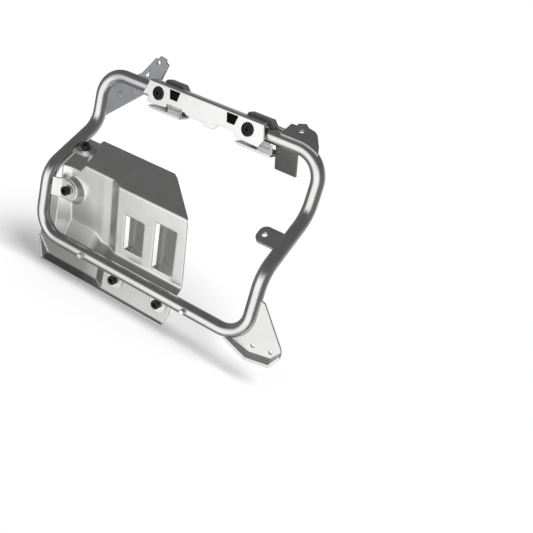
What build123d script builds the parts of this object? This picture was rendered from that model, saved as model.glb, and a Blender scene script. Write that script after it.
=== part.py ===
from build123d import *
from math import atan2, cos, radians, sin, tan
import os

# Right-hand pannier frame: one bent tube loop with its brackets, latch rail and exhaust heat shield.
# X runs forward along the bars, Y towards the motorcycle and Z up, all in millimetres.
# The origin lies midway between the two locating pins, at the height of the lower bar's axis,
# on the plane that touches the outer side of the lower bar.

# Tube loop
tube_d = 18.0
tube_wall = 2.0
loop_length = 348.0
loop_height = 228.0
jog_depth = 81.0
jog_top = 152.0
jog_bottom = 92.0
corner_r = 36.0
jog_r = 38.0

tube_r = tube_d / 2
rear_x = -loop_length / 2
front_x = loop_length / 2
low_y = tube_r
top_y = low_y + jog_depth
jog_angle = atan2(jog_top - jog_bottom, jog_depth)

# Sheet gauges and common clearances
bracket_t = 3.0
rail_t = 2.5
shield_t = 1.5
bend_inside = 2.5
hole_clearance = 0.4
seat_gap = 0.3
edge_round = 1.0
bracket_back = top_y + tube_r + bracket_t

# Locating pins, pressed through the lower bar, with a slightly smaller end that the case hooks on
pin_d = 8.0
pin_end_d = 7.6
pin_spacing = 175.0
pin_out = 5.0
pin_in = 1.2
pin_chamfer = 0.8
pin_xs = [-pin_spacing / 2, pin_spacing / 2]

# Carrier bolts that clamp the saddles and the latch rail to the upper bar
carrier_spacing = 141.0
carrier_xs = [-carrier_spacing / 2, carrier_spacing / 2]
carrier_shank_d = 8.0
carrier_head_d = 12.0
carrier_head_h = 5.0
carrier_socket = 6.0
boss_d = 19.0
boss_h = 5.0
boss_floor = 1.0
puck_d = 17.0
puck_proud = 1.6
puck_rim = 2.2
puck_groove = 1.6
puck_groove_depth = 1.0
puck_socket = 5.0
puck_socket_depth = 3.0
puck_thread = 4.0

# Latch rail
rail_out = 15.0
rail_past_rear = 15.5
rail_past_front = 20.0
rail_rear = carrier_xs[0] - rail_past_rear
rail_front = carrier_xs[1] + rail_past_front
rail_flare = 5.5
rail_flare_drop = 21.0
rail_low = 16.0
rail_notch = 8.7
rail_flange = 13.0
rail_bend = 3.5
ear_rear_l = 31.0
ear_front_l = 34.5
ear_rear_end = rail_rear + ear_rear_l
ear_front_start = rail_front - ear_front_l
tongue_start = -21.0
tongue_step = 7.0
tongue_end = 22.5
window_top_w = 17.0
window_low_w = 11.5
window_h = 12.0
window_drop = 3.6
window_spacing = 90.4
insert_recess = 1.2
insert_t = 2.0
insert_lip = 1.5

# Saddles that wrap the upper bar, and what sits on them
saddle_half = 22.5
saddle_low = 23.0
saddle_top_out = 10.0
saddle_foot_out = 12.0
saddle_chamfer = 9.0
saddle_foot_rear = 11.0
saddle_foot_front = 38.0
clip_start = 18.0
clip_l = 20.0
clip_d = 5.0
clip_slot = 1.2
block_h = 6.5
block_noses = [0.0, 9.0]
block_rear_past = 3.5
block_rear_l = 35.0
block_front_past = 14.5
block_front_l = 42.0
block_starts = [carrier_xs[0] - block_rear_past, carrier_xs[1] - block_front_past]
block_ends = [block_starts[0] + block_rear_l, block_starts[1] + block_front_l]

# Rear corner gusset with its mounting tab
gusset_drop = 66.0
gusset_edge_in = 61.5
gusset_edge_drop = 15.0
gusset_low = loop_height - gusset_drop
gusset_edge_x = rear_x + gusset_edge_in
gusset_edge_z = loop_height - gusset_edge_drop
tab_hole_in = 77.0
tab_hole_x = rear_x + tab_hole_in
tab_hole_up = 32.6
tab_hole_d = 6.0
tab_height = 41.5
emboss_d = 9.0
emboss_h = 1.4

# Front upper bracket
hanger_tilt = 25.0
hanger_back = 62.0
hanger_l = 54.0
hanger_width = 32.5
hanger_skirt = 4.0
hanger_rear = front_x - hanger_back
hanger_front = hanger_rear + hanger_l
hanger_hole_in = 19.0
hanger_hole_x = hanger_rear + hanger_hole_in
hanger_hole_up = 15.0
hanger_hole_d = 7.0
hanger_flange_lead = 13.0
hanger_flange_w = 32.0
hanger_flange_rear = hanger_rear - hanger_flange_lead
hanger_flange_front = hanger_flange_rear + hanger_flange_w
hanger_drop = 55.0

# Tab on the front jog
mid_tab_w = 26.0
mid_tab_reach = 39.0
mid_tab_along = 49.5
mid_tab_end = 10.0
mid_hole_reach = 29.4
mid_hole_d = 7.0

# Foot gusset on the lower front corner
foot_top = 60.0
foot_reach = 52.5
foot_toe_x = front_x + foot_reach
foot_toe_z = 7.5
foot_drop = 10.0
foot_start = 23.0
foot_outer_start = 13.5
foot_crank = 12.0
foot_toe_back = 10.5
foot_toe_drop = 11.5
foot_flange_out = 9.0
foot_flange_drop = 8.0
foot_hole_d = 6.0
foot_hole_in = 14.4
foot_hole_pitch = 24.9
foot_hole_rear = front_x + foot_hole_in
foot_hole_front = foot_hole_rear + foot_hole_pitch
foot_hole_z = 0.9
foot_hole_rise = 3.6

# Heat shield, a pressed sheet that stands behind the rear half of the loop
shield_overhang = 13.0
shield_past_bolt = 19.0
low_bolt_spacing = 76.0
low_bolt_xs = [-low_bolt_spacing / 2, low_bolt_spacing / 2]
shield_rear = rear_x - shield_overhang
shield_front = low_bolt_xs[1] + shield_past_bolt
shield_top_out = 8.5
shield_back = 71.0
shield_face_y = 17.0
shield_face_lean = 17.0
shield_face_low = 8.0
shield_foot_y = 18.0
shield_foot_z = -11.0
shield_flange_low = 42.0
shield_lip = 4.3
shield_step = 5.0
step_back = 21.5
step_run = 15.0
step_front = low_bolt_xs[0] - step_back
step_rear = step_front - step_run
rim_edge_in = 12.0
rim_w = 15.0
rim_edge = rear_x + rim_edge_in
rim_inner = rim_edge + rim_w
rear_face_low = 22.0
pocket_back = 13.5
pocket_run = 13.0
pocket_front = step_rear - pocket_back
pocket_rear = pocket_front - pocket_run
mid_face_low = 12.0
shield_bend = 4.5
rim_lean = 0.5
far_y = 120.0

# Outline of the shield
shield_top_back = 66.0
shield_top_front = shield_front - shield_top_back
shield_corner = 8.0
face_taper = 4.0
face_top_front = shield_front - face_taper
face_slant_z = 21.0
flange_corner = 14.0
rim_top = 66.0
rim_tuck = 14.0
rim_gap = 1.5
lip_corner_in = 6.4
lip_corner_x = rear_x + lip_corner_in
lip_end_x = shield_rear
lip_end_z = -15.0

# Tray pressed into the top of the shield beside the rear jog
tray_floor = -1.5
jog_bolt_in = 20.5
jog_bolt_x = rear_x + jog_bolt_in
tray_past_bolt = 11.5
tray_edge = jog_bolt_x + tray_past_bolt
tray_run = 11.0
tray_slant = 0.2
tray_bend = 2.5

# Louvres in the shield's front face
louvre_depth = 9.0
louvre_starts = [15.0, 65.0]
louvre_widths = [32.0, 34.5]
louvre_lows = [20.0, 15.0]
louvre_tops = [75.0, 86.0]

# Shield tabs and their bolts
tab_w = 26.0
jog_tab_w = 21.0
bolt_shank_d = 6.0
bolt_head_d = 13.0
bolt_head_h = 5.0
bolt_socket = 6.0
bolt_socket_depth = 3.0
washer_d = 17.0
washer_t = 1.2
nut_w = 10.0
nut_h = 5.0
side_bolt_in = 31.0
side_bolt_x = rear_x + side_bolt_in
side_bolt_z = 70.5
jog_bolt_along = 53.0
low_bolt_drop = 18.5
dimple_r = 15.0
dimple_angle = 25.0
joggle_start = 17.0
joggle_end = 11.0
joggle_rise = 4.0
tab_root = 3.5
shank_past_nut = 1.0

os.makedirs("parts", exist_ok=True)


def facing_out(y):
    """Plane at depth y whose sketch reads X across and Z up, and whose normal points outboard."""
    return Plane(origin=(0, y, 0), x_dir=(1, 0, 0), z_dir=(0, -1, 0))


def across(x):
    """Plane at station x whose sketch reads Y across and Z up."""
    return Plane(origin=(x, 0, 0), x_dir=(0, 1, 0), z_dir=(1, 0, 0))


def jog_point(along, out):
    """Y and Z of a point on the jog: along the tube from its lower bend, and out from its axis."""
    y = low_y + along * cos(jog_angle) - out * sin(jog_angle)
    z = jog_bottom + along * sin(jog_angle) + out * cos(jog_angle)
    return y, z


def on_jog(out):
    """Plane parallel to both jogs: X across, up the slope along the tubes, normal away from the rack."""
    y, z = jog_point(0, out)
    normal = (0, -sin(jog_angle), cos(jog_angle))
    return Plane(origin=(0, y, z), x_dir=(1, 0, 0), z_dir=normal)


# Tube loop: one tube bent eight times and closed on itself
loop_corners = [
    (front_x, top_y, loop_height),
    (front_x, top_y, jog_top),
    (front_x, low_y, jog_bottom),
    (front_x, low_y, 0),
    (rear_x, low_y, 0),
    (rear_x, low_y, jog_bottom),
    (rear_x, top_y, jog_top),
    (rear_x, top_y, loop_height),
]
loop_radii = [corner_r, jog_r, jog_r, corner_r, corner_r, jog_r, jog_r, corner_r]

with BuildPart() as loop_outside:
    with BuildLine() as loop_path:
        FilletPolyline(*loop_corners, radius=loop_radii, close=True)
    with BuildSketch(Plane(origin=loop_path.line @ 0, z_dir=loop_path.line % 0)):
        Circle(tube_r)
    sweep(path=loop_path.line)

with BuildPart() as tube_loop:
    with BuildLine() as bore_path:
        FilletPolyline(*loop_corners, radius=loop_radii, close=True)
    with BuildSketch(Plane(origin=bore_path.line @ 0, z_dir=bore_path.line % 0)):
        Circle(tube_r)
        Circle(tube_r - tube_wall, mode=Mode.SUBTRACT)
    sweep(path=bore_path.line)
    with BuildSketch(facing_out(top_y)):
        with Locations(*[(x, loop_height) for x in carrier_xs]):
            Circle((carrier_shank_d + hole_clearance) / 2)
    extrude(amount=tube_d, both=True, mode=Mode.SUBTRACT)
    with BuildSketch(facing_out(low_y)):
        with Locations(*[(x, 0) for x in pin_xs]):
            Circle(pin_d / 2)
    extrude(amount=tube_d, both=True, mode=Mode.SUBTRACT)
tube_loop.part.label = "tube_loop"
export_step(tube_loop.part, "parts/tube_loop.step")

# Locating pins: a stepped, chamfered end outside the bar, rounded over behind it
for pin_name, pin_x in zip(["pin_rear", "pin_front"], pin_xs):
    with BuildPart() as pin:
        with BuildSketch(facing_out(2 * tube_r + pin_in)):
            with Locations((pin_x, 0)):
                Circle(pin_d / 2)
        extrude(amount=2 * tube_r + pin_in)
        with BuildSketch(facing_out(0)):
            with Locations((pin_x, 0)):
                Circle(pin_end_d / 2)
        extrude(amount=pin_out)
        chamfer(pin.edges().sort_by(Axis.Y)[0], pin_chamfer)
        fillet(pin.edges().sort_by(Axis.Y)[-1], pin_chamfer)
    pin.part.label = pin_name
    export_step(pin.part, f"parts/{pin_name}.step")

# Latch rail: a channel folded over the saddles, with two ears round the pucks and a latch tongue
rail_y = top_y - rail_out
saddle_top = loop_height + tube_r + bracket_t
rail_top = saddle_top + rail_t
ear_z = loop_height - rail_low
notch_z = loop_height - rail_notch
flare_z = rail_top - rail_flare_drop
window_z = rail_top - window_drop - window_h / 2
window_xs = [-window_spacing / 2, window_spacing / 2]

with BuildPart() as latch_rail:
    with BuildSketch(across(rail_rear - 2 * rail_flare)):
        with BuildLine():
            FilletPolyline(
                (rail_y, ear_z - rail_flange),
                (rail_y, rail_top),
                (rail_y + rail_flange, rail_top),
                radius=rail_bend,
            )
            offset(amount=rail_t, side=Side.RIGHT)
        make_face()
    extrude(amount=rail_front - rail_rear + 4 * rail_flare)
    with BuildSketch(facing_out(rail_y + rail_flange)):
        with BuildLine():
            Polyline(
                (rail_rear, rail_top),
                (rail_rear - 1.6 * rail_flare, flare_z),
                (rail_rear, flare_z),
                (rail_rear, ear_z + 2),
                (rail_rear + 6, ear_z),
                (ear_rear_end, ear_z + 2),
                (ear_rear_end + 1, notch_z),
                (tongue_start - 6, notch_z),
                (tongue_start, ear_z + 3),
                (tongue_step, ear_z + 2),
                (tongue_step, ear_z - 0.5),
                (tongue_end, ear_z - 1),
                (tongue_end + 6.5, notch_z),
                (ear_front_start - 3, notch_z),
                (ear_front_start, ear_z + 1),
                (rail_front - 0.5, ear_z),
                (rail_front + rail_flare, ear_z + 10),
                (rail_front, rail_top),
                close=True,
            )
        make_face()
        with Locations(*[(x, loop_height) for x in carrier_xs]):
            Circle(puck_d / 2 + hole_clearance, mode=Mode.SUBTRACT)
        for window_x in window_xs:
            with BuildLine():
                Polyline(
                    (window_x - window_top_w / 2, window_z + window_h / 2),
                    (window_x + window_top_w / 2, window_z + window_h / 2),
                    (window_x + window_low_w / 2, window_z - window_h / 2),
                    (window_x - window_low_w / 2, window_z - window_h / 2),
                    close=True,
                )
            make_face(mode=Mode.SUBTRACT)
    extrude(amount=rail_flange + rail_t, mode=Mode.INTERSECT)
latch_rail.part.label = "latch_rail"
export_step(latch_rail.part, "parts/latch_rail.step")

# Window inserts: dark plugs that close the two latch windows from behind
for insert_name, insert_x in zip(["window_insert_rear", "window_insert_front"], window_xs):
    with BuildPart() as insert:
        with BuildSketch(facing_out(rail_y + rail_t + insert_t)):
            with Locations((insert_x, window_z - insert_lip)):
                Rectangle(window_top_w, window_h)
        extrude(amount=insert_t)
        with BuildSketch(facing_out(rail_y + rail_t)):
            with BuildLine():
                Polyline(
                    (insert_x - window_top_w / 2, window_z + window_h / 2),
                    (insert_x + window_top_w / 2, window_z + window_h / 2),
                    (insert_x + window_low_w / 2, window_z - window_h / 2),
                    (insert_x - window_low_w / 2, window_z - window_h / 2),
                    close=True,
                )
            make_face()
        extrude(amount=rail_t - insert_recess)
    insert.part.label = insert_name
    export_step(insert.part, f"parts/{insert_name}.step")

# Saddles: a folded strap over, behind and under the upper bar at each carrier bolt
saddle_bottom = loop_height - saddle_low
foot_top_z = saddle_bottom + bracket_t
fold_z = saddle_bottom + bend_inside + bracket_t + seat_gap
for saddle_name, saddle_x in zip(["saddle_rear", "saddle_front"], carrier_xs):
    with BuildPart() as saddle:
        with BuildSketch(across(saddle_x - saddle_foot_front)):
            with BuildLine():
                FilletPolyline(
                    (top_y - saddle_top_out, saddle_top),
                    (bracket_back, saddle_top),
                    (bracket_back, saddle_bottom),
                    (top_y - saddle_foot_out, saddle_bottom),
                    radius=bend_inside + bracket_t,
                )
                offset(amount=bracket_t, side=Side.RIGHT)
            make_face()
        extrude(amount=2 * saddle_foot_front)
        with BuildSketch(facing_out(bracket_back)):
            with BuildLine():
                Polyline(
                    (saddle_x - saddle_half, saddle_top),
                    (saddle_x + saddle_half, saddle_top),
                    (saddle_x + saddle_half, fold_z),
                    (saddle_x + saddle_foot_front, fold_z),
                    (saddle_x + saddle_foot_front, saddle_bottom),
                    (saddle_x - saddle_foot_rear, saddle_bottom),
                    (saddle_x - saddle_half, saddle_bottom + saddle_chamfer),
                    close=True,
                )
            make_face()
            with Locations((saddle_x, loop_height)):
                Circle((carrier_shank_d + hole_clearance) / 2, mode=Mode.SUBTRACT)
        extrude(amount=bracket_back - top_y + saddle_foot_out, mode=Mode.INTERSECT)
    saddle.part.label = saddle_name
    export_step(saddle.part, f"parts/{saddle_name}.step")

# Clips: moulded blocks on the saddle feet that steady the rail's lower edge
for clip_name, saddle_x in zip(["clip_rear", "clip_front"], carrier_xs):
    with BuildPart() as clip:
        with BuildSketch(facing_out(top_y - saddle_foot_out + clip_d)):
            with BuildLine():
                Polyline(
                    (saddle_x + clip_start, foot_top_z),
                    (saddle_x + clip_start + clip_l, foot_top_z),
                    (saddle_x + clip_start + clip_l - clip_d / 2, notch_z),
                    (saddle_x + clip_start, notch_z),
                    close=True,
                )
            make_face()
        extrude(amount=clip_d)
        with BuildSketch(facing_out(top_y - saddle_foot_out)):
            with Locations((saddle_x + clip_start + clip_l / 2, foot_top_z + 0.6 * (notch_z - foot_top_z))):
                Rectangle(clip_l - 3 * clip_slot, clip_slot)
        extrude(amount=-clip_slot, mode=Mode.SUBTRACT)
    clip.part.label = clip_name
    export_step(clip.part, f"parts/{clip_name}.step")

# Pucks: round pads with a ring groove and a socket, standing a little proud of the rail
puck_face = rail_y - puck_proud
puck_back = top_y - tube_r
for puck_name, puck_x in zip(["puck_rear", "puck_front"], carrier_xs):
    with BuildPart() as puck:
        with BuildSketch(facing_out(puck_back)):
            with Locations((puck_x, loop_height)):
                Circle(puck_d / 2)
        extrude(amount=puck_back - puck_face)
        fillet(puck.edges().sort_by(Axis.Y)[0], edge_round)
        with BuildSketch(facing_out(puck_face)):
            with Locations((puck_x, loop_height)):
                Circle(puck_d / 2 - puck_rim)
                Circle(puck_d / 2 - puck_rim - puck_groove, mode=Mode.SUBTRACT)
        extrude(amount=-puck_groove_depth, mode=Mode.SUBTRACT)
        with BuildSketch(facing_out(puck_face)):
            with Locations((puck_x, loop_height)):
                RegularPolygon(puck_socket / 2, 6, major_radius=False)
        extrude(amount=-puck_socket_depth, mode=Mode.SUBTRACT)
        with BuildSketch(facing_out(puck_back)):
            with Locations((puck_x, loop_height)):
                Circle(carrier_shank_d / 2)
        extrude(amount=puck_thread, mode=Mode.SUBTRACT)
    puck.part.label = puck_name
    export_step(puck.part, f"parts/{puck_name}.step")

# Carrier bosses and bolts on the inboard side of the upper bar
for boss_name, boss_x in zip(["carrier_boss_rear", "carrier_boss_front"], carrier_xs):
    with BuildPart() as carrier_boss:
        with BuildSketch(facing_out(bracket_back + boss_h)):
            with Locations((boss_x, loop_height)):
                Circle(boss_d / 2)
                Circle((carrier_shank_d + hole_clearance) / 2, mode=Mode.SUBTRACT)
        extrude(amount=boss_h)
        with BuildSketch(facing_out(bracket_back + boss_h)):
            with Locations((boss_x, loop_height)):
                Circle(carrier_head_d / 2 + hole_clearance)
        extrude(amount=boss_h - boss_floor, mode=Mode.SUBTRACT)
    carrier_boss.part.label = boss_name
    export_step(carrier_boss.part, f"parts/{boss_name}.step")

head_seat = bracket_back + boss_floor
for bolt_name, bolt_x in zip(["carrier_bolt_rear", "carrier_bolt_front"], carrier_xs):
    with BuildPart() as carrier_bolt:
        with BuildSketch(facing_out(head_seat + carrier_head_h)):
            with Locations((bolt_x, loop_height)):
                Circle(carrier_head_d / 2)
        extrude(amount=carrier_head_h)
        fillet(carrier_bolt.edges().sort_by(Axis.Y)[-1], edge_round)
        with BuildSketch(facing_out(head_seat + carrier_head_h)):
            with Locations((bolt_x, loop_height)):
                RegularPolygon(carrier_socket / 2, 6, major_radius=False)
        extrude(amount=carrier_head_h / 2, mode=Mode.SUBTRACT)
        with BuildSketch(facing_out(head_seat)):
            with Locations((bolt_x, loop_height)):
                Circle(carrier_shank_d / 2)
        extrude(amount=head_seat - puck_back + puck_thread)
    carrier_bolt.part.label = bolt_name
    export_step(carrier_bolt.part, f"parts/{bolt_name}.step")

# Stop blocks: moulded blocks on the saddles, behind the rail's upper flange. The front one has a nose
# that comes down over the saddle's front edge, just clear of the tube.
block_y = rail_y + rail_flange + seat_gap
for block_name, saddle_x, block_start, block_end, nose in zip(
    ["stop_block_rear", "stop_block_front"],
    carrier_xs,
    block_starts,
    block_ends,
    block_noses,
):
    with BuildPart() as stop_block:
        with BuildSketch(facing_out(bracket_back)):
            with BuildLine():
                FilletPolyline(
                    (block_start, saddle_top),
                    (block_start + block_h / 2, saddle_top + block_h),
                    (block_end - block_h, saddle_top + block_h),
                    (block_end, saddle_top),
                    radius=block_h / 3,
                )
                Line((block_end, saddle_top), (block_start, saddle_top))
            make_face()
        extrude(amount=bracket_back - block_y)
        fillet(stop_block.faces().sort_by(Axis.Z)[-1].edges().filter_by(Axis.X), edge_round)
        if nose:
            nose_start = saddle_x + saddle_half + seat_gap
            with BuildSketch(facing_out(bracket_back)):
                with Locations(((nose_start + block_end) / 2, saddle_top - nose / 2)):
                    Rectangle(block_end - nose_start, nose)
            extrude(amount=bracket_back - block_y)
            with BuildSketch(across(nose_start)):
                with Locations((top_y, loop_height)):
                    Circle(tube_r + seat_gap)
            extrude(amount=block_end, mode=Mode.SUBTRACT)
    stop_block.part.label = block_name
    export_step(stop_block.part, f"parts/{block_name}.step")

# Corner gusset: a sheet welded behind the rear upper corner, with a mounting tab above the bar
tab_hole_z = loop_height + tab_hole_up
tab_top = loop_height + tab_height
gusset_front = carrier_xs[0] - saddle_half - seat_gap
with BuildPart() as corner_gusset:
    with BuildSketch(facing_out(bracket_back)):
        with BuildLine():
            Line((gusset_edge_x, gusset_edge_z), (rear_x, gusset_low))
            Line((rear_x, gusset_low), (rear_x, loop_height - corner_r))
            JernArc((rear_x, loop_height - corner_r), (0, 1), corner_r, -90)
            Polyline(
                (rear_x + corner_r, loop_height),
                (tab_hole_x - 24, loop_height + tube_r + 3),
                (tab_hole_x - 13, tab_hole_z - 5.5),
                (tab_hole_x - 6, tab_hole_z + 4.5),
                (tab_hole_x - 2, tab_hole_z + 4),
                (tab_hole_x + 1, tab_top),
                (tab_hole_x + 11, tab_top - 1.5),
                (tab_hole_x + 11, tab_top - 5),
                (tab_hole_x + 16, tab_top - 7.5),
                (tab_hole_x + 9.5, saddle_top + seat_gap),
                (gusset_front, saddle_top + seat_gap),
                (gusset_front, gusset_edge_z),
                (gusset_edge_x, gusset_edge_z),
            )
        make_face()
        with Locations((tab_hole_x, tab_hole_z)):
            Circle(tab_hole_d / 2, mode=Mode.SUBTRACT)
        with BuildLine():
            Polyline(
                (tab_hole_x - 20, loop_height + tube_r),
                (tab_hole_x - 13, tab_hole_z - 13),
                (tab_hole_x - 12, loop_height + tube_r),
                close=True,
            )
        make_face(mode=Mode.SUBTRACT)
    extrude(amount=bracket_t)
    with BuildSketch(facing_out(bracket_back - bracket_t)):
        with Locations((rear_x + 22, gusset_low + 38), (rear_x + 46, gusset_edge_z + 0.5)):
            Circle(emboss_d / 2)
    extrude(amount=emboss_h, taper=30)
corner_gusset.part.label = "corner_gusset"
export_step(corner_gusset.part, "parts/corner_gusset.step")

# Front bracket: a tilted plate on top of the upper bar, bent down round the tube's corner at its
# front end, with a flange that hangs behind the bar
tilt = radians(hanger_tilt)
hanger_plane = Plane(
    origin=(0, top_y - tube_r * sin(tilt), loop_height + tube_r * cos(tilt)),
    x_dir=(1, 0, 0),
    z_dir=(0, -sin(tilt), cos(tilt)),
)
hanger_side = Plane(origin=hanger_plane.origin, x_dir=(1, 0, 0), z_dir=(0, cos(tilt), sin(tilt)))
hanger_bend = corner_r + tube_r * cos(tilt)
hanger_bend_x = front_x - corner_r
flange_plane = Plane(
    origin=(0, top_y + tube_r * cos(tilt), loop_height + tube_r * sin(tilt)),
    x_dir=(1, 0, 0),
    z_dir=(0, -cos(tilt), -sin(tilt)),
)
with BuildPart() as front_bracket:
    with BuildSketch(hanger_side.offset(-hanger_skirt)):
        with BuildLine():
            FilletPolyline(
                (hanger_rear, 0),
                (hanger_bend_x + hanger_bend, 0),
                (hanger_bend_x + hanger_bend, hanger_bend + bracket_t),
                radius=hanger_bend,
            )
            offset(amount=bracket_t, side=Side.RIGHT)
        make_face()
    extrude(amount=hanger_skirt + hanger_width)
    with BuildSketch(hanger_plane):
        with BuildLine():
            Polyline(
                (hanger_rear, -hanger_skirt),
                (hanger_rear, hanger_width - 10.2),
                (hanger_rear + 8, hanger_width - 9.5),
                (hanger_rear + 7, hanger_width - 5.5),
                (hanger_hole_x - 3, hanger_width),
                (hanger_hole_x + 4, hanger_width - 6.3),
                (hanger_front - 21, hanger_width - 8),
                (hanger_front - 15.5, hanger_width - 12),
                (hanger_front - 10.5, hanger_width - 19),
                (hanger_front - 5, hanger_width - 26.5),
                (hanger_front, -hanger_skirt),
                close=True,
            )
        make_face()
        with Locations((hanger_hole_x, hanger_hole_up)):
            Circle(hanger_hole_d / 2, mode=Mode.SUBTRACT)
    extrude(amount=2 * hanger_bend, both=True, mode=Mode.INTERSECT)
    with BuildSketch(flange_plane):
        with Locations(((hanger_flange_rear + hanger_flange_front) / 2, (tube_r - hanger_drop) / 2)):
            Rectangle(hanger_flange_front - hanger_flange_rear, hanger_drop + tube_r)
    extrude(amount=-bracket_t)
    add(loop_outside.part, mode=Mode.SUBTRACT)
front_bracket.part.label = "front_bracket"
export_step(front_bracket.part, "parts/front_bracket.step")

# Mid tab: a flat tab in the plane of the front jog
with BuildPart() as mid_tab:
    with BuildSketch(on_jog(-bracket_t / 2)):
        with Locations((front_x - mid_tab_reach / 2, mid_tab_along)):
            RectangleRounded(mid_tab_reach, mid_tab_w, mid_tab_end)
        with Locations((front_x - mid_tab_reach / 4, mid_tab_along)):
            Rectangle(mid_tab_reach / 2, mid_tab_w)
        with Locations((front_x - mid_hole_reach, mid_tab_along)):
            Circle(mid_hole_d / 2, mode=Mode.SUBTRACT)
    extrude(amount=bracket_t)
    add(loop_outside.part, mode=Mode.SUBTRACT)
mid_tab.part.label = "mid_tab"
export_step(mid_tab.part, "parts/mid_tab.step")

# Foot gusset: a plate in the corner's own plane with a flange turned out along its lower edge
foot_edge = [
    (front_x - corner_r + foot_start, 2 - tube_r),
    (front_x + foot_crank, -foot_drop),
    (foot_toe_x - foot_toe_back, foot_toe_z - foot_toe_drop),
    (foot_toe_x, foot_toe_z),
]
foot_outer = [
    (front_x - corner_r + foot_outer_start, bracket_t - tube_r),
    (front_x + foot_crank, -foot_drop - foot_flange_drop),
    (foot_toe_x - foot_toe_back + bracket_t, foot_toe_z - foot_toe_drop - foot_flange_drop + 0.5),
    (foot_toe_x + bracket_t + 0.5, foot_toe_z),
]
with BuildPart() as foot_gusset:
    with BuildSketch(facing_out(low_y + bracket_t / 2)):
        with BuildLine():
            Line((front_x, foot_top), (front_x, corner_r))
            JernArc((front_x, corner_r), (0, -1), corner_r, -90)
            Polyline((front_x - corner_r, 0), *foot_edge)
            Polyline(
                foot_edge[-1],
                (foot_toe_x - 2, foot_toe_z + 6),
                (front_x + tube_r + 5, foot_top - 1),
                (front_x + tube_r + 1.5, foot_top),
                (front_x, foot_top),
            )
        make_face()
        with Locations((foot_hole_rear, foot_hole_z), (foot_hole_front, foot_hole_z + foot_hole_rise)):
            Circle(foot_hole_d / 2, mode=Mode.SUBTRACT)
    extrude(amount=bracket_t)
    with BuildSketch(facing_out(low_y + bracket_t / 2)):
        with BuildLine():
            Polyline(*foot_edge)
            offset(amount=bracket_t, side=Side.LEFT)
        make_face()
    with BuildSketch(facing_out(low_y - foot_flange_out)):
        with BuildLine():
            Polyline(*foot_outer)
            offset(amount=bracket_t, side=Side.LEFT)
        make_face()
    loft(ruled=True)
    add(loop_outside.part, mode=Mode.SUBTRACT)
foot_gusset.part.label = "foot_gusset"
export_step(foot_gusset.part, "parts/foot_gusset.step")

# Axes of the four shield bolts: each plane lies on its tab's outer face, normal towards the bolt's head
jog_bolt_y, jog_bolt_z = jog_point(jog_bolt_along, bracket_t / 2)
jog_bolt_plane = Plane(
    origin=(jog_bolt_x, jog_bolt_y, jog_bolt_z),
    x_dir=(1, 0, 0),
    z_dir=(0, -sin(jog_angle), cos(jog_angle)),
)
tab_face_y = shield_foot_y - bracket_t
low_bolt_planes = [
    Plane(origin=(x, tab_face_y, -low_bolt_drop), x_dir=(1, 0, 0), z_dir=(0, -1, 0)) for x in low_bolt_xs
]
side_bolt_plane = Plane(origin=(side_bolt_x, tab_face_y, side_bolt_z), x_dir=(1, 0, 0), z_dir=(0, -1, 0))
bolt_planes = [jog_bolt_plane, side_bolt_plane, *low_bolt_planes]

# Heat shield: one pressed sheet. Its Y and Z section changes along X, so it is lofted through stations.
# Each section runs from the upper edge over the top bend, down the face, out at the foot and to the lip.
top_edge = jog_point(shield_back, shield_top_out)
flange_z = -shield_flange_low
face_top_z = top_edge[1] - (top_edge[0] - shield_face_y) * tan(jog_angle)
face_slope = shield_face_lean / (face_top_z - shield_face_low)
lip_edge = (shield_foot_y - shield_lip, flange_z - shield_lip)


def shield_section(step, face_low, face_depth):
    """Outer line of the sheet: a face set back by step that leans in by face_depth down to face_low."""
    return [
        top_edge,
        (shield_face_y + step, face_top_z + step * tan(jog_angle)),
        (shield_face_y + step + face_depth, face_low),
        (shield_foot_y + step, shield_foot_z),
        (shield_foot_y + step, flange_z + step),
        lip_edge,
    ]


def face_depth_at(low):
    """How far the leaning face has moved inboard at height low."""
    return face_slope * (face_top_z - low)


rim_section = shield_section(shield_step, rear_face_low, rim_lean)
rear_section = shield_section(shield_step, rear_face_low, face_depth_at(rear_face_low))
mid_section = shield_section(shield_step, mid_face_low, face_depth_at(mid_face_low))
front_section = shield_section(0, shield_face_low, face_depth_at(shield_face_low))
shield_stations = [
    (shield_rear, rim_section),
    (rim_edge, rim_section),
    (rim_inner, rear_section),
    (pocket_rear, rear_section),
    (pocket_front, mid_section),
    (step_rear, mid_section),
    (step_front, front_section),
    (shield_front, front_section),
]


def section_face(x, points, kind):
    """One loft section: the sheet's own thickness, or all that lies behind its outer or inner side."""
    with BuildSketch(across(x)) as section:
        with BuildLine() as line:
            FilletPolyline(*points, radius=shield_bend)
            if kind == "sheet":
                offset(amount=shield_t, side=Side.LEFT)
            elif kind == "inner":
                offset(amount=shield_t, side=Side.LEFT, closed=False)
            if kind != "sheet":
                start = line.line @ 0
                end = line.line @ 1
                Polyline(end, (far_y, end.Y), (far_y, start.Y), start)
        make_face()
    return section.sketch.faces()[0]


def lofted(kind):
    """Ruled loft of one kind of section through all the stations."""
    with BuildPart() as body:
        loft([section_face(x, points, kind) for x, points in shield_stations], ruled=True)
    return body.part


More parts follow.
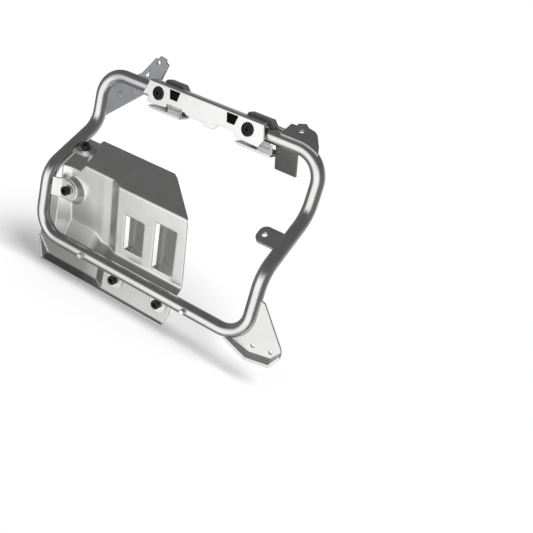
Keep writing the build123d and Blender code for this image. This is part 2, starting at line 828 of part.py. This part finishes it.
# Tray beside the rear jog: a floor parallel to the tube with one sloping wall, which opens downhill
tray_y, tray_z = jog_point(shield_back, 0)
tray_plane = Plane(
    origin=(0, tray_y, tray_z),
    x_dir=(1, tray_slant * cos(jog_angle), tray_slant * sin(jog_angle)),
    z_dir=(-tray_slant, cos(jog_angle), sin(jog_angle)),
)
tray_rise = 2 * (shield_top_out - tray_floor)
tray_line = [
    (shield_rear - tube_d, -tray_floor),
    (tray_edge, -tray_floor),
    (tray_edge + 2 * tray_run, -tray_floor - tray_rise),
]
with BuildPart() as tray_space:
    with BuildSketch(tray_plane):
        with BuildLine() as tray_top:
            FilletPolyline(*tray_line, radius=tray_bend)
            Polyline(
                tray_top.line @ 1,
                (tray_edge + 2 * tray_run, -4 * tray_rise),
                (shield_rear - tube_d, -4 * tray_rise),
                tray_top.line @ 0,
            )
        make_face()
    extrude(amount=2 * shield_back, both=True)
with BuildPart() as tray_sheet:
    with BuildSketch(tray_plane):
        with BuildLine():
            FilletPolyline(*tray_line, radius=tray_bend)
            offset(amount=shield_t, side=Side.LEFT)
        make_face()
    extrude(amount=2 * shield_back, both=True)
    with BuildSketch(on_jog(tray_floor)):
        with Locations((rear_x, 0)):
            Rectangle(far_y, 2 * shield_back)
    extrude(amount=far_y, both=True, mode=Mode.INTERSECT)
    add(lofted("outer"), mode=Mode.INTERSECT)

# Dimple under the side tab: a round boss pressed outboard to meet the tab
dimple_depth = 2 * (shield_face_lean + shield_step)
dimple_grow = dimple_depth * tan(radians(dimple_angle))
with BuildPart() as dimple_solid:
    with BuildSketch(facing_out(shield_foot_y)):
        with Locations((side_bolt_x, side_bolt_z)):
            Circle(dimple_r)
    with BuildSketch(facing_out(shield_foot_y + dimple_depth)):
        with Locations((side_bolt_x, side_bolt_z)):
            Circle(dimple_r + dimple_grow)
    loft(ruled=True)
inner_r = dimple_r - shield_t * (1 - sin(radians(dimple_angle))) / cos(radians(dimple_angle))
with BuildPart() as dimple_sheet:
    add(dimple_solid.part)
    with BuildSketch(facing_out(shield_foot_y + shield_t)):
        with Locations((side_bolt_x, side_bolt_z)):
            Circle(inner_r)
    with BuildSketch(facing_out(shield_foot_y + shield_t + dimple_depth)):
        with Locations((side_bolt_x, side_bolt_z)):
            Circle(inner_r + dimple_grow)
    loft(ruled=True, mode=Mode.SUBTRACT)
    add(lofted("inner"), mode=Mode.SUBTRACT)


# Louvres: a blade hinged at the front edge of each window and pressed inboard at the rear edge
face_angle = atan2(shield_face_lean, face_top_z - shield_face_low)


def louvre_base(height):
    """Plane across the face at a height: X forward, and its own Y pointing outboard from the sheet."""
    y = shield_face_y + face_slope * (face_top_z - height)
    up_the_face = (0, -sin(face_angle), cos(face_angle))
    return Plane(origin=(0, y, height), x_dir=(1, 0, 0), z_dir=up_the_face)


# Rear lip: the flange's slanted rear edge is turned outboard like its lower edge
lip_run = shield_foot_y + shield_step - lip_edge[0]
lip_corner = Vector(lip_corner_x, shield_foot_y + shield_step, flange_z + shield_step)
lip_end = Vector(lip_end_x, shield_foot_y + shield_step, lip_end_z)
lip_along = (lip_end - lip_corner).normalized()
lip_turn = Vector(-lip_along.Z, -1, lip_along.X) * lip_run
mitre = Vector(lip_corner_x - lip_run * (1 - lip_along.Z) / -lip_along.X, lip_edge[0], lip_edge[1])
lip_plane = Plane(origin=lip_corner, x_dir=lip_along, z_dir=lip_along.cross(lip_turn))
lip_points = [
    lip_plane.to_local_coords(point)
    for point in [
        lip_corner - lip_turn * 0.1,
        lip_end - lip_turn * 0.1,
        lip_end + lip_turn,
        mitre,
    ]
]
with BuildPart() as rear_lip:
    with BuildSketch(lip_plane):
        with BuildLine():
            Polyline(*[(point.X, point.Y) for point in lip_points], close=True)
        make_face()
    extrude(amount=shield_t, dir=(0, 1, 0))


with BuildPart() as heat_shield:
    add(lofted("sheet"))
    add(tray_space.part, mode=Mode.SUBTRACT)
    add(tray_sheet.part)
    add(dimple_solid.part, mode=Mode.SUBTRACT)
    add(dimple_sheet.part)
    for start, width, low, top in zip(louvre_starts, louvre_widths, louvre_lows, louvre_tops):
        rear = step_front + start
        front = rear + width
        rise = (top - low) / cos(face_angle)
        with BuildSketch(louvre_base(low)):
            with Locations(((rear + front) / 2, 0)):
                Rectangle(front - rear, 4 * shield_t)
        extrude(amount=rise, mode=Mode.SUBTRACT)
        with BuildSketch(louvre_base(low)):
            with BuildLine():
                Polyline(
                    (front, 0),
                    (rear, 0),
                    (rear, louvre_depth + shield_t),
                    (front, shield_t),
                    close=True,
                )
            make_face()
        extrude(amount=rise)
        with BuildSketch(louvre_base(low).offset(shield_t)):
            with BuildLine():
                Polyline(
                    (front, 0),
                    (rear - 1, -1),
                    (rear - 1, louvre_depth),
                    (rear, louvre_depth),
                    close=True,
                )
            make_face()
        extrude(amount=rise - 2 * shield_t, mode=Mode.SUBTRACT)
    with BuildSketch(Plane.XY.offset(face_top_z - shield_bend)):
        with BuildLine():
            Polyline(
                (shield_top_front, top_edge[0]),
                (shield_top_front + shield_corner, top_edge[0] - shield_corner / 2),
                (face_top_front - 1, shield_face_y + 2),
                (face_top_front, shield_face_y - shield_step),
                (far_y, shield_face_y - shield_step),
                (far_y, far_y),
                (shield_top_front, far_y),
                close=True,
            )
        make_face()
    extrude(amount=far_y, mode=Mode.SUBTRACT)
    with BuildSketch(facing_out(far_y)):
        with BuildLine():
            Polyline(
                (lip_corner_x - 4.2, lip_edge[1] - 1),
                (lip_corner_x, flange_z + shield_step),
                (lip_end_x, lip_end_z),
                (shield_rear, rim_top - rim_tuck),
                (rear_x + tube_r + rim_gap, rim_top),
                (rear_x + tube_r + rim_gap, far_y + face_top_z),
                (face_top_front, far_y + face_top_z),
                (face_top_front, face_top_z),
                (shield_front, face_slant_z),
                (shield_front, flange_z + flange_corner),
                (shield_front - flange_corner / 2, lip_edge[1] - 1),
                close=True,
            )
        make_face()
    extrude(amount=2 * far_y, mode=Mode.INTERSECT)
    add(rear_lip.part)
    for stack in bolt_planes:
        with BuildSketch(stack):
            Circle((bolt_shank_d + hole_clearance) / 2)
        extrude(amount=4 * bracket_t, both=True, mode=Mode.SUBTRACT)
heat_shield.part.label = "heat_shield"
export_step(heat_shield.part, "parts/heat_shield.step")

# Jog tab: carries the shield's tray from the rear jog
with BuildPart() as tab_jog:
    with BuildSketch(on_jog(-bracket_t / 2)):
        with Locations((jog_bolt_x, jog_bolt_along)):
            Circle(jog_tab_w / 2)
        with Locations(((rear_x + jog_bolt_x) / 2, jog_bolt_along)):
            Rectangle(jog_bolt_x - rear_x, jog_tab_w)
        with Locations((jog_bolt_x, jog_bolt_along)):
            Circle((bolt_shank_d + hole_clearance) / 2, mode=Mode.SUBTRACT)
    extrude(amount=bracket_t)
    add(loop_outside.part, mode=Mode.SUBTRACT)
tab_jog.part.label = "tab_jog"
export_step(tab_jog.part, "parts/tab_jog.step")

# Side tab: leaves the rear upright at its side and is joggled in to the dimple
with BuildPart() as tab_side:
    with BuildSketch(Plane.XY.offset(side_bolt_z - tab_w / 2)):
        with BuildLine():
            FilletPolyline(
                (rear_x + tube_r / 2, low_y - bracket_t),
                (side_bolt_x - joggle_start, tab_face_y - joggle_rise),
                (side_bolt_x - joggle_end, tab_face_y),
                (side_bolt_x + tab_w / 2, tab_face_y),
                radius=bend_inside,
            )
            offset(amount=bracket_t, side=Side.LEFT)
        make_face()
    extrude(amount=tab_w)
    with BuildSketch(facing_out(low_y + tube_d)):
        with Locations((side_bolt_x, side_bolt_z)):
            Circle(tab_w / 2)
        with Locations(((rear_x + side_bolt_x) / 2, side_bolt_z)):
            Rectangle(side_bolt_x - rear_x, tab_w)
        with Locations((side_bolt_x, side_bolt_z)):
            Circle((bolt_shank_d + hole_clearance) / 2, mode=Mode.SUBTRACT)
    extrude(amount=2 * tube_d, mode=Mode.INTERSECT)
    add(loop_outside.part, mode=Mode.SUBTRACT)
tab_side.part.label = "tab_side"
export_step(tab_side.part, "parts/tab_side.step")

# Lower tabs: hang behind the lower bar in front of the shield's flange
for tab_name, tab_x in zip(["tab_low_rear", "tab_low_front"], low_bolt_xs):
    with BuildPart() as tab_low:
        with BuildSketch(facing_out(shield_foot_y)):
            with Locations((tab_x, -low_bolt_drop)):
                Circle(tab_w / 2)
            with Locations((tab_x, -(low_bolt_drop + tab_root) / 2)):
                Rectangle(tab_w, low_bolt_drop - tab_root)
            with Locations((tab_x, -low_bolt_drop)):
                Circle((bolt_shank_d + hole_clearance) / 2, mode=Mode.SUBTRACT)
        extrude(amount=bracket_t)
        add(loop_outside.part, mode=Mode.SUBTRACT)
    tab_low.part.label = tab_name
    export_step(tab_low.part, f"parts/{tab_name}.step")

# Shield fasteners: a washer and a button-head socket bolt on each tab, and a nut behind the sheet
stack_names = ["jog", "side", "low_rear", "low_front"]
sheet_seat = bracket_t + shield_t
for stack_name, stack in zip(stack_names, bolt_planes):
    with BuildPart() as washer:
        with BuildSketch(stack):
            Circle(washer_d / 2)
            Circle((bolt_shank_d + hole_clearance) / 2, mode=Mode.SUBTRACT)
        extrude(amount=washer_t)
    washer.part.label = f"washer_{stack_name}"
    export_step(washer.part, f"parts/washer_{stack_name}.step")

    with BuildPart() as bolt:
        with BuildSketch(stack.offset(washer_t)):
            Circle(bolt_head_d / 2)
        extrude(amount=bolt_head_h)
        fillet(bolt.edges().sort_by(Axis(stack.origin, stack.z_dir))[-1], edge_round)
        with BuildSketch(stack.offset(washer_t + bolt_head_h)):
            RegularPolygon(bolt_socket / 2, 6, major_radius=False)
        extrude(amount=-bolt_socket_depth, mode=Mode.SUBTRACT)
        with BuildSketch(stack.offset(washer_t)):
            Circle(bolt_shank_d / 2)
        extrude(amount=-(washer_t + sheet_seat + nut_h + shank_past_nut))
    bolt.part.label = f"bolt_{stack_name}"
    export_step(bolt.part, f"parts/bolt_{stack_name}.step")

    with BuildPart() as nut:
        with BuildSketch(stack.offset(-sheet_seat)):
            RegularPolygon(nut_w / 2, 6, major_radius=False)
            Circle(bolt_shank_d / 2, mode=Mode.SUBTRACT)
        extrude(amount=-nut_h)
    nut.part.label = f"nut_{stack_name}"
    export_step(nut.part, f"parts/nut_{stack_name}.step")
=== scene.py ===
import math

import bpy
from mathutils import Matrix, Vector


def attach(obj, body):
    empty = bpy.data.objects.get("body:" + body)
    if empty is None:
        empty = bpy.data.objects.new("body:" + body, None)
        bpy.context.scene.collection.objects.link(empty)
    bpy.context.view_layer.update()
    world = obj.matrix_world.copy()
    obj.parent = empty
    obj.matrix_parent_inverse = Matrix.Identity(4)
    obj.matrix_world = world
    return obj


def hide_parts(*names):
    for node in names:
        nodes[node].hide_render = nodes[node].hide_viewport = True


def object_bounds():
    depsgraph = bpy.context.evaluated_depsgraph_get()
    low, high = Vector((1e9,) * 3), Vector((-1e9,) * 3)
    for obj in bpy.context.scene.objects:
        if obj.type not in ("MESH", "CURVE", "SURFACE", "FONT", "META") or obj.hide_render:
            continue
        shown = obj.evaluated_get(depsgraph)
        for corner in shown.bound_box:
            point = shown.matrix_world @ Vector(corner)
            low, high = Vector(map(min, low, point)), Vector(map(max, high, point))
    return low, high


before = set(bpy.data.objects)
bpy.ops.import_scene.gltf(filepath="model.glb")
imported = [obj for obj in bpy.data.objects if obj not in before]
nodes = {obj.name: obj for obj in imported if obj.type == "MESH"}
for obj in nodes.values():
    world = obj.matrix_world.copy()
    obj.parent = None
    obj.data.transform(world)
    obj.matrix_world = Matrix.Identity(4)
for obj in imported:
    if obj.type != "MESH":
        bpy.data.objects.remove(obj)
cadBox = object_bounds()
print("frame loaded:", len(nodes), "nodes")


# a socket that does sums: each operator adds its Math node
class Wire:
    def __init__(self, bench, socket):
        self.bench = bench
        self.socket = socket

    def maths(self, operation, values, clamp=False):
        return self.bench.add("ShaderNodeMath", {"operation": operation, "use_clamp": clamp}, values)

    def __add__(self, other):
        return self.maths("ADD", [self, other])

    def __radd__(self, other):
        return self.maths("ADD", [other, self])

    def __sub__(self, other):
        return self.maths("SUBTRACT", [self, other])

    def __rsub__(self, other):
        return self.maths("SUBTRACT", [other, self])

    def __mul__(self, other):
        return self.maths("MULTIPLY", [self, other])

    def __rmul__(self, other):
        return self.maths("MULTIPLY", [other, self])

    def clamped(self):
        return self.maths("ADD", [self, 0.0], clamp=True)


class Bench:
    def __init__(self, tree):
        self.tree = tree
        tree.nodes.clear()

    # one way to make any node: its type, its settings first, then the values or links of its sockets
    def add(self, kind, settings=None, inputs=None, output=0):
        node = self.tree.nodes.new(kind)
        for name, value in (settings or {}).items():
            setattr(node, name, value)
        pairs = enumerate(inputs) if isinstance(inputs, (list, tuple)) else (inputs or {}).items()
        for key, value in pairs:
            if isinstance(value, Wire):
                self.tree.links.new(value.socket, node.inputs[key])
            else:
                node.inputs[key].default_value = value
        return Wire(self, node.outputs[output]) if node.outputs else None

    # 0 below low, 1 above high, with a soft ramp between them
    def between(self, value, low, high):
        return self.add("ShaderNodeMapRange", {"interpolation_type": "SMOOTHSTEP"}, [value, low, high, 0.0, 1.0])

    def mixedColour(self, factor, first, second):
        return self.add("ShaderNodeMix", {"data_type": "RGBA"}, {0: factor, 6: first, 7: second}, output=2)

    # one number of a vector: 0 is x, 1 is y, 2 is z
    def part(self, vector, axis):
        return self.add("ShaderNodeSeparateXYZ", {}, [vector], output=axis)

    def noise(self, place, size, scale, detail):
        spread = self.add("ShaderNodeMapping", {}, {"Vector": place, "Scale": size})
        return self.add("ShaderNodeTexNoise", {}, {"Vector": spread, "Scale": scale, "Detail": detail,
                                                   "Roughness": 0.55})


def newMaterial(name):
    material = bpy.data.materials.new(name)
    material.use_nodes = True
    return material, Bench(material.node_tree)


# metals: light and dark are the two tones that the metal wanders between, grain is the direction of the polish,
# spread is how far the roughness wanders, and round is the radius of folds and rims
tubePolish = {"light": (0.71, 0.71, 0.705, 1), "dark": (0.63, 0.63, 0.625, 1), "rough": 0.19, "spread": 0.05,
              "grain": (60, 900, 900), "bump": 0.006, "round": 0.0006}
shieldSatin = {"light": (0.87, 0.87, 0.86, 1), "dark": (0.79, 0.79, 0.78, 1), "rough": 0.29, "spread": 0.05,
               "grain": (420, 160, 14), "bump": 0.006, "round": 0.0034,
               # painted shade on the shield's foot and in the pressing of its rear corner
               "paintedShade": {"tone": (0.30, 0.30, 0.295, 1), "foot": (-0.012, 0.020), "footShare": 0.46,
                        "corner": (-0.13, -0.05), "cornerTop": (0.030, 0.075), "cornerShare": 0.74}}
railSatin = {"light": (0.87, 0.87, 0.865, 1), "dark": (0.80, 0.80, 0.79, 1), "rough": 0.30, "spread": 0.06,
             "grain": (14, 420, 420), "bump": 0.006, "round": 0.0010}
bracketSatin = {"light": (0.74, 0.74, 0.735, 1), "dark": (0.66, 0.66, 0.655, 1), "rough": 0.27, "spread": 0.06,
                "grain": (220, 220, 30), "bump": 0.006, "round": 0.0012}
# painted shade on the lower part of the front bracket
bracketFolded = dict(bracketSatin, paintedShade={"tone": (0.18, 0.18, 0.175, 1), "foot": (0.214, 0.230),
                                         "footShare": 0.8})
footSatin = {"light": (0.86, 0.86, 0.85, 1), "dark": (0.78, 0.78, 0.77, 1), "rough": 0.47, "spread": 0.10,
             "grain": (30, 300, 300), "bump": 0.010, "round": 0.0012}
gussetBlasted = {"light": (0.37, 0.38, 0.395, 1), "dark": (0.31, 0.32, 0.335, 1), "rough": 0.42, "spread": 0.06,
                 "grain": (400, 400, 400), "bump": 0.02, "round": 0.0010}
boltSteel = {"light": (0.84, 0.84, 0.83, 1), "dark": (0.76, 0.76, 0.75, 1), "rough": 0.20, "spread": 0.05,
             "grain": (300, 300, 300), "bump": 0.006, "round": 0.0005}

# sizes of the patterns that all metals share, and how much each one moves the tone
metalPattern = {"cloud": 38.0, "scuff": 420.0, "cloudShare": 0.6, "scuffShare": 0.15, "grainShare": 0.25,
                "tones": (0.35, 0.65), "foldSamples": 6, "grainDepth": 0.0004}
# folds and rims are rubbed brighter and smoother, more in some spots than in others; the brighter colour along
# folds is also a painted highlight
edgeWearAndHighlight = {"turn": (0.004, 0.08), "least": 0.45, "patchy": 0.7, "tone": (0.98, 0.98, 0.975, 1), "smoother": 0.08}


# painted shade: a sheet's colour is darkened on its foot, and in the pressing of its rear corner too, with a soft
# edge, standing in for the dim reflections and shade there
def paintShade(bench, place, colour, paintedShade):
    x, z = bench.part(place, 0), bench.part(place, 2)
    share = (1 - bench.between(z, *paintedShade["foot"])) * paintedShade["footShare"]
    if "corner" in paintedShade:
        corner = (1 - bench.between(x, *paintedShade["corner"])) * (1 - bench.between(z, *paintedShade["cornerTop"]))
        share = (share + corner * paintedShade["cornerShare"]).clamped()
    return bench.mixedColour(share, colour, paintedShade["tone"])


def metal(name, look):
    material, bench = newMaterial(name)
    pattern = metalPattern
    place = bench.add("ShaderNodeTexCoord", output=3)
    cloud = bench.noise(place, (1, 1, 1), pattern["cloud"], 4.0)     # slow change of tone over a few centimetres
    scuff = bench.noise(place, (1, 1, 1), pattern["scuff"], 5.0)     # fine mottle of a handled surface
    grain = bench.noise(place, look["grain"], 1.0, 2.0)              # lines of the polishing belt
    blend = cloud * pattern["cloudShare"] + scuff * pattern["scuffShare"] + grain * pattern["grainShare"]
    colour = bench.mixedColour(bench.between(blend, *pattern["tones"]), look["dark"], look["light"])
    # painted shade on the sheets that carry it, darker towards their foot
    if "paintedShade" in look:
        colour = paintShade(bench, place, colour, look["paintedShade"])
    rough = look["rough"] + (cloud - 0.5) * look["spread"] + (grain - 0.5) * look["spread"]

    folded = bench.add("ShaderNodeBevel", {"samples": pattern["foldSamples"]}, {"Radius": look["round"]})
    face = bench.add("ShaderNodeNewGeometry", output="Normal")
    facing = bench.add("ShaderNodeVectorMath", {"operation": "DOT_PRODUCT"}, [folded, face], output="Value")
    # wear and painted highlight: a brighter colour along folds and rims
    wearAndHighlight = bench.between(1 - facing, *edgeWearAndHighlight["turn"]) * (edgeWearAndHighlight["least"] + scuff * edgeWearAndHighlight["patchy"])
    colour = bench.mixedColour(wearAndHighlight, colour, edgeWearAndHighlight["tone"])
    rough = rough - wearAndHighlight * edgeWearAndHighlight["smoother"]

    relief = bench.add("ShaderNodeBump", {}, {"Strength": look["bump"], "Distance": pattern["grainDepth"],
                                              "Height": grain, "Normal": folded})
    shader = bench.add("ShaderNodeBsdfPrincipled", {}, {"Base Color": colour, "Metallic": 1.0,
                                                        "Roughness": rough, "Normal": relief})
    bench.add("ShaderNodeOutputMaterial", {}, {"Surface": shader})
    return material


# plastics and blackened steel
blackMoulding = {"light": (0.018, 0.018, 0.019, 1), "dark": (0.009, 0.009, 0.010, 1), "rough": 0.46,
                 "bump": 0.10, "gloss": 0.30}
blackPlug = {"light": (0.006, 0.006, 0.006, 1), "dark": (0.003, 0.003, 0.003, 1), "rough": 0.60,
             "bump": 0.10, "gloss": 0.06}
blackOxide = {"light": (0.026, 0.026, 0.027, 1), "dark": (0.012, 0.012, 0.012, 1), "rough": 0.33,
              "bump": 0.05, "gloss": 0.22}
darkBlock = {"light": (0.075, 0.075, 0.074, 1), "dark": (0.050, 0.050, 0.050, 1), "rough": 0.40,
             "bump": 0.10, "gloss": 0.5}
greyClip = {"light": (0.66, 0.66, 0.65, 1), "dark": (0.56, 0.56, 0.55, 1), "rough": 0.38,
            "bump": 0.06, "gloss": 0.5}
mouldPattern = {"cloud": 60.0, "pores": 1800.0, "tones": (0.35, 0.65), "spread": 0.2, "poreDepth": 0.0002}


def moulding(name, look):
    material, bench = newMaterial(name)
    pattern = mouldPattern
    place = bench.add("ShaderNodeTexCoord", output=3)
    cloud = bench.noise(place, (1, 1, 1), pattern["cloud"], 3.0)
    pores = bench.noise(place, (1, 1, 1), pattern["pores"], 2.0)     # spark-eroded mould surface
    colour = bench.mixedColour(bench.between(cloud, *pattern["tones"]), look["dark"], look["light"])
    rough = look["rough"] + (pores - 0.5) * pattern["spread"]
    relief = bench.add("ShaderNodeBump", {}, {"Strength": look["bump"], "Distance": pattern["poreDepth"],
                                              "Height": pores})
    shader = bench.add("ShaderNodeBsdfPrincipled", {}, {"Base Color": colour, "Roughness": rough,
                                                        "Specular IOR Level": look["gloss"], "Normal": relief})
    bench.add("ShaderNodeOutputMaterial", {}, {"Surface": shader})
    return material


# each finish: how it is made, its look, and the solids that wear it
finishes = {
    "polishedTube": (metal, tubePolish, ["tube_loop"]),
    "satinShield": (metal, shieldSatin, ["heat_shield"]),
    "satinRail": (metal, railSatin, ["latch_rail"]),
    "satinBracket": (metal, bracketSatin, ["mid_tab", "tab_jog", "tab_side", "tab_low_rear", "tab_low_front",
                                           "saddle_rear", "saddle_front"]),
    "foldedBracket": (metal, bracketFolded, ["front_bracket"]),
    "satinFoot": (metal, footSatin, ["foot_gusset"]),
    "blastedGusset": (metal, gussetBlasted, ["corner_gusset"]),
    "brightSteel": (metal, boltSteel, ["pin_rear", "pin_front", "washer_jog", "washer_side", "washer_low_rear",
                                       "washer_low_front", "nut_jog", "nut_side", "nut_low_rear",
                                       "nut_low_front", "carrier_boss_rear", "carrier_boss_front"]),
    "blackOxide": (moulding, blackOxide, ["bolt_jog", "bolt_side", "bolt_low_rear", "bolt_low_front",
                                          "carrier_bolt_rear", "carrier_bolt_front"]),
    "blackMoulding": (moulding, blackMoulding, ["puck_rear", "puck_front"]),
    "blackPlug": (moulding, blackPlug, ["window_insert_rear", "window_insert_front"]),
    "darkBlock": (moulding, darkBlock, ["stop_block_rear", "stop_block_front"]),
    "greyClip": (moulding, greyClip, ["clip_rear", "clip_front"]),
}
missed = set(nodes)
for finish, (make, look, wearers) in finishes.items():
    material = make(finish, look)
    for name in wearers:
        nodes[name].data.materials.clear()
        nodes[name].data.materials.append(material)
        missed.discard(name)
print("finishes set, without one:", sorted(missed))

# heat shield: the pressed sheet, with the free end of its rear lip flattened back towards the flange;
# tip is the lip's end, reach how near to it a point has to be, crease the angle of a fold in degrees
shieldLip = {"tip": (-0.19398, 0.01445, -0.02115), "reach": 0.0012, "move": (0.0045, 0.0068, 0.0038),
             "merge": 0.000002, "crease": 13}


def dressShield(plan):
    bpy.ops.object.select_all(action="DESELECT")
    source = nodes["heat_shield"]
    piece = source.copy()
    piece.data = source.data.copy()
    piece.name = "shieldSheet"
    for key in [key for key in piece.keys() if key.startswith("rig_")]:
        del piece[key]
    bpy.context.scene.collection.objects.link(piece)
    bpy.context.view_layer.objects.active = piece
    piece.select_set(True)
    bpy.ops.object.mode_set(mode="EDIT")
    bpy.ops.mesh.select_all(action="SELECT")
    bpy.ops.mesh.remove_doubles(threshold=plan["merge"])
    bpy.ops.mesh.select_all(action="DESELECT")
    bpy.ops.object.mode_set(mode="OBJECT")
    tip = Vector(plan["tip"])
    for vertex in piece.data.vertices:
        vertex.select = (vertex.co - tip).length < plan["reach"]
    bpy.ops.object.mode_set(mode="EDIT")
    bpy.ops.mesh.select_mode(type="VERT")
    bpy.ops.transform.translate(value=plan["move"])
    bpy.ops.object.mode_set(mode="OBJECT")
    bpy.ops.mesh.customdata_custom_splitnormals_clear()
    bpy.ops.object.shade_smooth_by_angle(angle=math.radians(plan["crease"]))
    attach(piece, "root")
    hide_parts("heat_shield")
    return piece


shieldSheet = dressShield(shieldLip)
nodes["tube_loop"].visible_glossy = False    # the bar's own mirror image stays out of the sheet behind it
print("heat shield dressed:", len(shieldSheet.data.vertices), "vertices")

# floor: size and its gap below the object in metres; glow is what the camera alone sees on top
floorPlan = {"size": 40.0, "below": 0.0005, "white": (0.80, 0.80, 0.80, 1), "glow": 0.12}


def layFloor(plan):
    bpy.ops.object.select_all(action="DESELECT")
    level = cadBox[0][2] - plan["below"]
    bpy.ops.mesh.primitive_plane_add(size=plan["size"], location=(0, 0, level))
    floor = bpy.context.object
    floor.name = "studioFloor"
    bpy.ops.object.transform_apply(location=True, rotation=True, scale=True)
    material, bench = newMaterial("paleFloor")
    seen = bench.add("ShaderNodeLightPath", output="Is Camera Ray")
    board = bench.add("ShaderNodeBsdfDiffuse", {}, {"Color": plan["white"]})
    glow = bench.add("ShaderNodeEmission", {}, {"Color": (1, 1, 1, 1), "Strength": seen * plan["glow"]})
    both = bench.add("ShaderNodeAddShader", {}, [board, glow])
    bench.add("ShaderNodeOutputMaterial", {}, {"Surface": both})
    floor.data.materials.append(material)
    floor.visible_glossy = False     # the metal mirrors the studio's panels and not the floor


layFloor(floorPlan)
print("floor laid")

# studio: white for the camera; the metal sees a large panel in front, a weaker one behind, a dim room that is
# darkest overhead, and a pale bounce from right below; turns and heights are in degrees, and each light fades
# between two of them
studio = {"fill": 0.45, "zenith": 0.135, "horizon": 0.19, "horizonHeights": (-5, 45),
          "bounce": 0.40, "bounceHeights": (-88, -56),
          "front": {"level": 1.12, "turnIn": (-150, -116), "turnOut": (-62, -28), "heightIn": (-72, -38),
                    "heightOut": (6, 34)},
          "rear": {"level": 0.34, "turnIn": (28, 62), "turnOut": (112, 150), "heightIn": (-64, -30),
                   "heightOut": (4, 30)}}


def fade(bench, value, degrees):
    return bench.between(value, math.radians(degrees[0]), math.radians(degrees[1]))


def hangPanel(bench, turn, height, panel):
    sideways = fade(bench, turn, panel["turnIn"]) * (1 - fade(bench, turn, panel["turnOut"]))
    upright = fade(bench, height, panel["heightIn"]) * (1 - fade(bench, height, panel["heightOut"]))
    return sideways * upright * panel["level"]


def lightStudio(plan):
    world = bpy.data.worlds.new("studio")
    bpy.context.scene.world = world
    world.use_nodes = True
    bench = Bench(world.node_tree)
    direction = bench.add("ShaderNodeTexCoord", output=0)
    x, y, z = (bench.part(direction, axis) for axis in range(3))
    turn = bench.add("ShaderNodeMath", {"operation": "ARCTAN2"}, [y, x])
    height = bench.add("ShaderNodeMath", {"operation": "ARCSINE"}, [z])
    gloom = 1 - fade(bench, height, plan["horizonHeights"])
    room = plan["zenith"] + gloom * (plan["horizon"] - plan["zenith"])
    room = room + (1 - fade(bench, height, plan["bounceHeights"])) * plan["bounce"]
    front = hangPanel(bench, turn, height, plan["front"])
    rear = hangPanel(bench, turn, height, plan["rear"])
    glossy = bench.add("ShaderNodeLightPath", output="Is Glossy Ray")
    camera = bench.add("ShaderNodeLightPath", output="Is Camera Ray")
    level = plan["fill"] + glossy * (room + front + rear - plan["fill"])
    level = level + camera * (1 - level)
    sky = bench.add("ShaderNodeBackground", {}, {"Color": (1, 1, 1, 1), "Strength": level})
    bench.add("ShaderNodeOutputWorld", {}, {"Surface": sky})


lightStudio(studio)

# a broad soft key from the front end of the object lays the shadow to its rear and below
keyLight = {"from": (0.75, -0.10, 1.10), "spread": 30, "power": 2.6}
bpy.ops.object.select_all(action="DESELECT")
bpy.ops.object.light_add(type="SUN", location=keyLight["from"])
lamp = bpy.context.object
lamp.name = "keyLight"
lamp.data.angle = math.radians(keyLight["spread"])
lamp.data.energy = keyLight["power"]
lamp.visible_glossy = False
lamp.rotation_euler = (-Vector(keyLight["from"])).to_track_quat("-Z", "Y").to_euler()
print("studio lit")

# camera at the photograph's angle; its angle of view is in degrees, the nearest and farthest sight in metres
viewpoint = {"place": (0.44172, -0.61926, 0.39752), "right": (0.8377, 0.4783, 0.2637),
             "up": (-0.4124, 0.2371, 0.8796), "forward": (-0.3582, 0.8456, -0.3958), "angle": 45.2,
             "nearest": 0.01, "farthest": 50}


def setCamera(plan):
    data = bpy.data.cameras.new("photoCamera")
    data.sensor_fit = "HORIZONTAL"
    data.angle = math.radians(plan["angle"])
    data.clip_start = plan["nearest"]
    data.clip_end = plan["farthest"]
    camera = bpy.data.objects.new("photoCamera", data)
    bpy.context.scene.collection.objects.link(camera)
    right, up, forward = Vector(plan["right"]), Vector(plan["up"]), Vector(plan["forward"])
    turned = Matrix((right, up, -forward)).transposed().to_4x4()
    camera.matrix_world = Matrix.Translation(plan["place"]) @ turned
    bpy.context.scene.camera = camera


setCamera(viewpoint)
bpy.context.scene.view_settings.view_transform = "Standard"
print("camera set")
